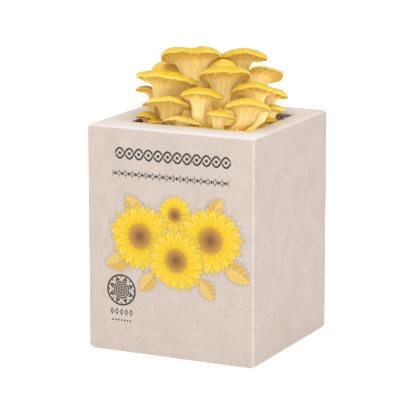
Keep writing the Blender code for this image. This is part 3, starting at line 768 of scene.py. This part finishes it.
def coat_with_board(paint):
    """Pale recycled board: faint clouds, flecks and fibres, with painted light on top and edges."""
    vector, x, y, _ = paint.place()
    paint.coat = paint.mix(paint.cloud(vector, 70, 4), (171, 159, 150), (189, 177, 168))
    fine = paint.cloud(vector, 420, 3, 0.6)
    grit = paint.cloud(vector, 900, 2, 0.6)
    paint.lay(fine.step(0.52, 0.72) * 0.32, (203, 192, 183))
    paint.lay((1 - fine.step(0.28, 0.48)) * 0.26, (152, 135, 121))
    paint.lay((1 - grit.step(0.3, 0.46)) * 0.2, (146, 128, 114))
    fibres = paint.streaks(vector, (2600, 2600, 420), 1)
    paint.lay(fibres.step(0.68, 0.78) * 0.22, (131, 112, 97))
    fibres = paint.streaks(vector, (500, 500, 2400), 1, shift=(3, 1, 5))
    paint.lay(fibres.step(0.68, 0.78) * 0.25, (201, 193, 187))
    normal = paint.split(paint.add("NewGeometry", {}, "Normal"))
    # painted light: the top faces lighter, and the front strip of the top most of all
    painted_top_light = normal[2].step(0.5, 0.9)
    paint.lay(painted_top_light * 0.55, (208, 199, 193))
    front_left = (y * -1).step(42, 56) * (x.step(-76, -40) * 0.7 + 0.3)
    paint.lay(painted_top_light * front_left * 0.9, (205, 200, 201))
    # painted highlight along the rounded edges
    edge_highlight = 1 - abs(normal[0]).most(abs(normal[1])).most(abs(normal[2]))
    paint.lay(edge_highlight.step(0.1, 0.27) * 0.55, (204, 196, 189))
    paint.bump(fine * 0.6 + fibres * 0.4, 0.0002, 0.5)


def board_materials():
    """The materials of the plain faces, of the printed front and of the board's cut edges."""
    plain = Paint("carton_board", 0.85, 0.25)
    coat_with_board(plain)
    printed = Paint("carton_print", 0.8, 0.25)
    coat_with_board(printed)
    print_front(printed)
    core = Paint("board_core", 0.95, 0.15)
    layers = core.streaks(core.place()[0], (120, 120, 2500), 3)
    core.coat = core.ramp(layers, ((0.3, (176, 152, 132)), (0.7, (214, 196, 180))))
    core.bump(layers, 0.0003, 0.6)
    return plain.done(), printed.done(), core.done()


# ---- print

# Leaves: base, direction and length. Flowers: middle, radius and turn. From back to front.
LEAVES = ((-34, 84, -112, 27), (-22, 114, -42, 27), (48, 84, 118, 28), (36, 118, 30, 24),
          (-14, 72, -142, 22), (26, 70, 140, 22))
FLOWERS = ((5, 121, 16.5, 0.3), (-27, 100, 28, 0.1), (37, 103, 29, 0.9), (6, 83, 26, 0.5))
PETALS = 16
STAMP_X, STAMP_Z = -44.5, 53
SHADE = (128, 110, 92)
INK = (44, 42, 40)


def print_front(paint):
    """The flush print on the front: golden flowers, two dark ornament bands and a round stamp."""
    vector, x, _, z = paint.place()
    for base_x, base_z, angle, length in LEAVES:
        spot = (x - base_x) / length, (z - base_z) / length
        leaf, shadow, vein, half = draw_leaf(*spot, math.radians(angle))
        paint.lay(shadow * 0.4, SHADE)
        fill = paint.mix(half, (184, 150, 74), (196, 165, 92))
        paint.lay(leaf, paint.mix(vein * 0.7, fill, (207, 184, 124)))
    for middle_x, middle_z, size, turn in FLOWERS:
        spot = (x - middle_x) / size, (z - middle_z) / size
        flower, shadow, middle, tone, dots = draw_flower(*spot, turn)
        paint.lay(shadow * 0.45, SHADE)
        petals = paint.ramp(tone, (
            (0, (164, 116, 36)), (0.3, (186, 144, 34)), (0.55, (202, 166, 28)),
            (0.8, (206, 176, 42)), (1, (208, 184, 92)),
        ))
        seeds = paint.ramp(dots, (
            (0, (96, 68, 44)), (0.35, (150, 108, 52)), (0.75, (186, 146, 70)),
        ))
        paint.lay(flower, paint.mix(middle, petals, seeds))
    dark = braid(x, z).most(beads(x, z)).most(stamp(x, z)).most(stamp_rows(x, z))
    rub = paint.cloud(vector, 900, 2).step(0.25, 0.45)
    paint.lay(dark * (rub * 0.1 + 0.88), INK)


def draw_leaf(x, z, turn):
    """A pointed leaf: where it is, its soft shadow, its veins and its shaded half."""
    across = x * math.cos(turn) - z * math.sin(turn)
    along = x * math.sin(turn) + z * math.cos(turn)
    across = across + (along * 3.2).sin() * 0.05
    width = along * (1 - along) * 1.15 + (along * 40).sin() * 0.006
    shape = width - abs(across)
    rib = (0.014 - abs(across)).step(-0.008, 0.008)
    veins = (along * 34 - abs(across) * 26).sin().step(0.55, 1)
    veins = rib.most(veins * 0.6)
    return shape.step(-0.012, 0.012), shape.step(-0.14, 0.02), veins, across.step(-0.02, 0.02)


def draw_flower(x, z, turn):
    """A round flower: where it is, its shadow, its middle, and how light it and its seeds are."""
    radius = radius_of(x, z)
    angle = z.arctan2(x) + turn
    covers, tones = [], []
    for layer, (shift, reach) in enumerate(((0.5, 1), (0, 0.95))):
        order = angle * (PETALS / (2 * math.pi)) + shift + PETALS
        number = (order + 0.5).floor()
        share = radius / ((number * 5.3 + turn * 9).sin() * 0.05 + reach)
        across = radius * order.fold(0.5) * (2 * math.pi / PETALS)
        bulge = (share - 0.62) * 2.6
        covers.append((1 - bulge * bulge) * 0.125 - across)
        streak = (across * 150 + number).sin() * 0.1
        crease = (across * 24).least(1) * 0.16
        tones.append(share * 0.75 + 0.12 + streak + crease - 0.22 * (1 - layer))
    heart = 0.36 - radius
    front = covers[1].step(-0.008, 0.008)
    shape = covers[0].most(covers[1]).most(heart)
    tone = tones[1] * front + tones[0] * (1 - front)
    tone = tone - (1 - radius.step(0.3, 0.5)) * 0.35
    seeds = (radius * 70 + (angle * 13).sin() * 1.2).sin() * (angle * 21).cos()
    dots = seeds * 0.22 + radius * 1.6
    return shape.step(-0.01, 0.01), shape.step(-0.1, 0.02), heart.step(-0.01, 0.01), tone, dots


def radius_of(x, z):
    return (x * x + z * z) ** 0.5


def ink_line(distance, half_width):
    return (half_width - distance).step(-0.09, 0.09)


def ink_dot(x, z, radius):
    return ink_line(radius_of(x, z), radius)


def braid(x, z):
    """Two strands plaited round a row of dots, 105 mm wide and 10 mm high."""
    middle, level, half_length, height, eye = 3.05, 168.4, 52.45, 4.2, 52.45 / 6
    across, up = x - middle, z - level
    phase = across * (math.pi / eye)
    wave = phase.sin() * height
    slope = phase.cos() * (height * math.pi / eye)
    slant = (slope * slope + 1) ** 0.5
    side = phase.cos().sign()
    over = abs(up - wave * side) / slant
    under = abs(up + wave * side) / slant
    strands = ink_line(over, 0.8).most(ink_line(under, 0.8) * over.step(1.3, 1.5))
    dots = ink_dot((across + eye / 2).fold(eye / 2), up, 1.35)
    return strands.most(dots) * ink_line(abs(across), half_length)


def beads(x, z):
    """A fine row of rings and lozenges, 106 mm wide."""
    middle, level, half_length, pitch = 0.7, 151.4, 53.1, 106.2 / 17
    across, up = x - middle, z - level
    tile = (across + pitch / 2).fold(pitch / 2)
    rings = ink_line(abs(radius_of(tile, up) - 1.5), 0.34)
    tile = across.fold(pitch / 2)
    lozenges = ink_line(tile * 1.5 + abs(up), 1.9)
    dash = ink_line(abs(tile - pitch / 2), 0.5) * ink_line(abs(abs(up) - 2.7), 0.4)
    return rings.most(lozenges).most(dash) * ink_line(abs(across), half_length)


def stamp(x, z):
    """A round rosette, 27 mm across, hatched like an engraving."""
    across, up = x - STAMP_X, z - STAMP_Z
    radius = radius_of(across, up)
    turn = up.arctan2(across)
    body = abs((turn * 4).sin()) * 4.6 + 6 - radius
    hatch = (radius * 3.1 + (turn * 8).cos() * 1.1).sin()
    engraved = body.step(-0.1, 0.1) * hatch.step(-0.65, -0.25)
    outline = body.step(-0.1, 0.1) - body.step(0.75, 0.95)
    rings = ink_line(abs(radius - 12.6), 0.75)
    ticks = ink_line(abs(radius - 11), 0.5) * (turn * 16).cos().step(0.2, 0.5)
    return engraved.most(outline).most(rings).most(ticks)


def stamp_rows(x, z):
    """A row of five lozenges and a finer row of beads under the rosette."""
    across = x - STAMP_X
    shape = across.fold(2.2) * 1.7 + abs(z - 34.3)
    row = ink_line(abs(shape - 2.3), 0.75) * ink_line(abs(across), 10.9)
    small = ink_dot(across.fold(1.35), z - 27.2, 0.8) * ink_line(abs(across), 9.3)
    return row.most(small)


# ---- substrate


def window_edge(x, y):
    """How far inside the window's nearest edge a point is."""
    return min(x - WINDOW_LEFT, WINDOW_RIGHT - x, y - WINDOW_FRONT, WINDOW_BACK - y)


def bare_corner(x, y):
    """1 in the two corners of the window, where the substrate is darker and bare of growth, and 0
    away from them.
    """
    return float(smooth(abs(x + y), 66.0, 80.0))


def heap(x, y):
    """How far the loose crumbs rise in the window and just under its edges."""
    edge = window_edge(x, y)
    return 1.9 * float(smooth(edge, -9.0, -2.0)) + 0.8 * float(smooth(edge, 0.6, 3.0))


def make_substrate(finish):
    """The block with a fine crumbly top, and chips and fibres lying on it."""
    inset = BOARD + BLOCK_CLEARANCE
    half_width, half_depth = CARTON_WIDTH / 2 - inset, CARTON_DEPTH / 2 - inset
    bm = bmesh.new()
    bmesh.ops.create_grid(bm, x_segments=130, y_segments=126, size=1.0)
    for vert in bm.verts:
        x, y = vert.co.x * half_width, vert.co.y * half_depth
        point = Vector((x, y, 0))
        crumb = noise.noise(point / 3.1) * 0.8 + noise.noise(point / 1.3) * 0.5
        crumb += max(0.0, noise.noise(point / 6.0)) * 0.9
        level = block_height(x, y) + heap(x, y) + crumb - 0.2
        if window_edge(x, y) < 0.5:
            level = min(level, CARTON_HEIGHT - BOARD - GAP)
        vert.co = Vector((x, y, level))
    border = [edge for edge in bm.edges if edge.is_boundary]
    skirt = bmesh.ops.extrude_edge_only(bm, edges=border)["geom"]
    for vert in (item for item in skirt if isinstance(item, bmesh.types.BMVert)):
        vert.co.z = BOARD + GAP
    bmesh.ops.contextual_create(bm, geom=[e for e in bm.edges if e.is_boundary])
    tone, growth = (bm.verts.layers.float.new(key) for key in ("tone", "growth"))
    for vert in bm.verts:
        vert[tone] = 0.3 + 0.25 * noise.noise(vert.co / 2.0)
    draw = random.Random(7)
    for _ in range(CHIPS):
        add_chip(bm, draw, tone)
    for vert in bm.verts:
        x, y, _ = vert.co
        share = base_share(x, y) - 0.35 * smooth(-y, 5.0, 30.0) + 0.6 * bare_corner(x, y)
        vert[growth] = 1 - smooth(share + 0.25 * noise.noise(vert.co / 4.0), 1.25, 1.7)
        vert[tone] -= 0.3 * bare_corner(x, y)
    bmesh.ops.recalc_face_normals(bm, faces=bm.faces)
    mesh = mesh_of("substrate_block", bm)
    finish_piece("substrate_block", mesh, [finish], 35.0, "substrate")


def add_chip(bm, draw, tone):
    """One wood chip or straw fibre on the block, in the window."""
    x = draw.uniform(WINDOW_LEFT + 1.5, WINDOW_RIGHT - 1.5)
    y = draw.uniform(WINDOW_FRONT + 1.5, WINDOW_BACK - 1.5)
    straw = draw.random() < 0.35
    length, width, height = (draw.uniform(*ends) for ends in (STRAW_SIZE if straw else CHIP_SIZE))
    turn, lean = draw.uniform(0, math.pi), draw.uniform(-0.35, 0.35)
    middle = Vector((x, y, block_height(x, y) + heap(x, y) + draw.uniform(0.1, 1.0)))
    shade = draw.choice((0.0, 0.25, 0.35, 0.45, 0.55, 0.7, 0.9))
    along = Vector((math.cos(turn) * math.cos(lean), math.sin(turn) * math.cos(lean),
                    math.sin(lean)))
    side = Vector((-math.sin(turn), math.cos(turn), 0))
    rise = along.cross(side)
    rows = []
    for end in (-0.5, 0.0, 0.5):
        taper = draw.uniform(0.5, 0.9) if end else 1.0
        bow = side * draw.uniform(-0.4, 0.4) * (1.0 if straw else width)
        row = []
        for a, b in ((-0.5, -0.5), (0.5, -0.5), (0.5, 0.5), (-0.5, 0.5)):
            spot = middle + along * length * end + bow
            spot += side * width * a * taper + rise * height * b * taper
            spot.x = min(max(spot.x, WINDOW_LEFT + 0.3), WINDOW_RIGHT - 0.3)
            spot.y = min(max(spot.y, WINDOW_FRONT + 0.3), WINDOW_BACK - 0.3)
            row.append(bm.verts.new(spot))
            row[-1][tone] = shade
        rows.append(row)
    for low, high in zip(rows, rows[1:]):
        for i in range(4):
            j = (i + 1) % 4
            bm.faces.new((low[i], low[j], high[j], high[i]))
    bm.faces.new(rows[0][::-1])
    bm.faces.new(rows[-1])


def substrate_material():
    paint = Paint("substrate", 0.95, 0.2)
    tone, growth = paint.stored("tone"), paint.stored("growth")
    speck = paint.cloud(paint.place()[0], 700)
    paint.coat = paint.ramp(tone + (speck - 0.5) * 0.5, (
        (0, (50, 48, 56)), (0.2, (186, 140, 96)), (0.45, (222, 180, 134)),
        (0.7, (240, 210, 170)), (1, (250, 232, 204)),
    ))
    paint.lay(growth * (speck.step(0.3, 0.6) * 0.2 + 0.7), (250, 214, 92))
    paint.bump(speck, 0.0005, 0.8)
    return paint.done()


# ---- base of the cluster


def knobs(x, y, pins):
    """How far the tissue's lumps and pinheads rise."""
    spot = Vector((x, y, 0))
    height = 0.9 * noise.noise(spot / 6.0) + 0.6 * noise.noise(spot / 2.3) + 0.35
    for pin_x, pin_y, size in pins:
        gap = ((x - pin_x) ** 2 + (y - pin_y) ** 2) / size**2
        if gap < 1:
            height += size * 0.9 * math.sqrt(1 - gap)
    return height


def make_base(finish, pressers):
    """The low mound of tissue that the stems grow from, with pinheads on it."""
    draw = random.Random(3)
    pins = []
    while len(pins) < PINHEADS:
        x, y = draw.uniform(-38, 52), draw.uniform(-28, 28)
        if base_share(x, y) < 0.97:
            pins.append((x, y, draw.uniform(0.8, 2.0)))
    centre_x, centre_y = BASE_CENTRE
    outline = []
    for i in range(BASE_COLUMNS):
        turn = 2 * math.pi * i / BASE_COLUMNS
        x, y = math.cos(turn), math.sin(turn)
        reach = base_share(centre_x + x, centre_y + y)
        outline.append((x / reach, y / reach))
    level = BLOCK_TOP + GAP
    rings = [[(centre_x + x, centre_y + y, level) for x, y in outline]]
    for row in range(BASE_ROWS):
        share = 1 - row / BASE_ROWS
        spots = [(centre_x + x * share, centre_y + y * share) for x, y in outline]
        rings.append([(*spot, base_height(*spot) + (knobs(*spot, pins) if row else 0.0))
                      for spot in spots])
    top = base_height(*BASE_CENTRE) + knobs(*BASE_CENTRE, pins)
    mesh = closed_mesh("cluster_base", rings, (*BASE_CENTRE, level), (*BASE_CENTRE, top))
    tree = tree_of(mesh)
    body = add_object("raw_base", mesh)
    subtract(body, [item for item in pressers if tree.overlap(tree_of(item.data))])
    mesh = evaluated_mesh(body)
    bpy.data.objects.remove(body)
    finish_piece("cluster_base_tissue", mesh, [finish], 60.0, "cluster_base")


def base_material():
    # the emission is a painted glow that lifts the tissue out of the shade between the stems
    paint = Paint("base_tissue", 0.6, 0.08, Subsurface_Weight=0.5, Subsurface_Scale=0.004,
                  Subsurface_Radius=(1, 0.8, 0.4), Emission_Color=(1, 0.74, 0.24, 1),
                  Emission_Strength=0.22)
    cloud = paint.cloud(paint.place()[0], 200, 5, 0.65)
    paint.coat = paint.ramp(cloud, (
        (0.3, (246, 213, 98)), (0.5, (252, 227, 124)), (0.7, (255, 240, 166)),
    ))
    paint.bump(cloud, 0.0012, 0.7)
    return paint.done()


# ---- studio


def add_lamp(name, place, power):
    data = bpy.data.lights.new(name, "AREA")
    data.shape = "DISK"
    data.size = LAMP_SIZE
    data.energy = power
    lamp = add_object(name, data)
    lamp.location = place
    lamp.rotation_euler = (Vector(place) - LAMP_AIM).to_track_quat("Z", "Y").to_euler()


def make_studio():
    scene = bpy.context.scene
    data = bpy.data.cameras.new("camera")
    data.sensor_width = SENSOR
    data.lens = LENS
    data.clip_start, data.clip_end = 0.1, 60.0
    camera = add_object("camera", data)
    camera.location = CAMERA_PLACE
    azimuth, elevation = math.radians(CAMERA_AZIMUTH), math.radians(CAMERA_ELEVATION)
    level = math.cos(elevation)
    back = Vector((math.sin(azimuth) * level, -math.cos(azimuth) * level, math.sin(elevation)))
    camera.rotation_euler = back.to_track_quat("Z", "Y").to_euler()
    scene.camera = camera

    bm = bmesh.new()
    bmesh.ops.create_grid(bm, x_segments=1, y_segments=1, size=12.0)
    floor = add_object("floor", mesh_of("floor", bm))
    floor.location.z = -0.0002
    paper = Paint("floor_paper", 0.9, 0.1, Base_Color=(0.9, 0.9, 0.9, 1), Emission_Color=WHITE,
                  Emission_Strength=0.35)
    floor.data.materials.append(paper.material)

    world = bpy.data.worlds.new("world")
    world.use_nodes = True
    sky = world.node_tree.nodes["Background"].inputs
    sky["Color"].default_value = WHITE
    sky["Strength"].default_value = 1.1
    scene.world = world
    add_lamp("overhead", (0.2, -0.7, 1.8), 13.0)
    add_lamp("low_fill", (1.2, -1.8, 0.12), 8.0)
    add_lamp("right_fill", (2.2, -0.6, 0.3), 3.0)
    scene.view_settings.view_transform = "Standard"
    scene.view_settings.look = "None"


make_studio()
pressers = make_mushrooms(flesh_material())
make_carton(*board_materials())
make_substrate(substrate_material())
make_base(base_material(), pressers)
for presser in pressers:
    bpy.data.objects.remove(presser)
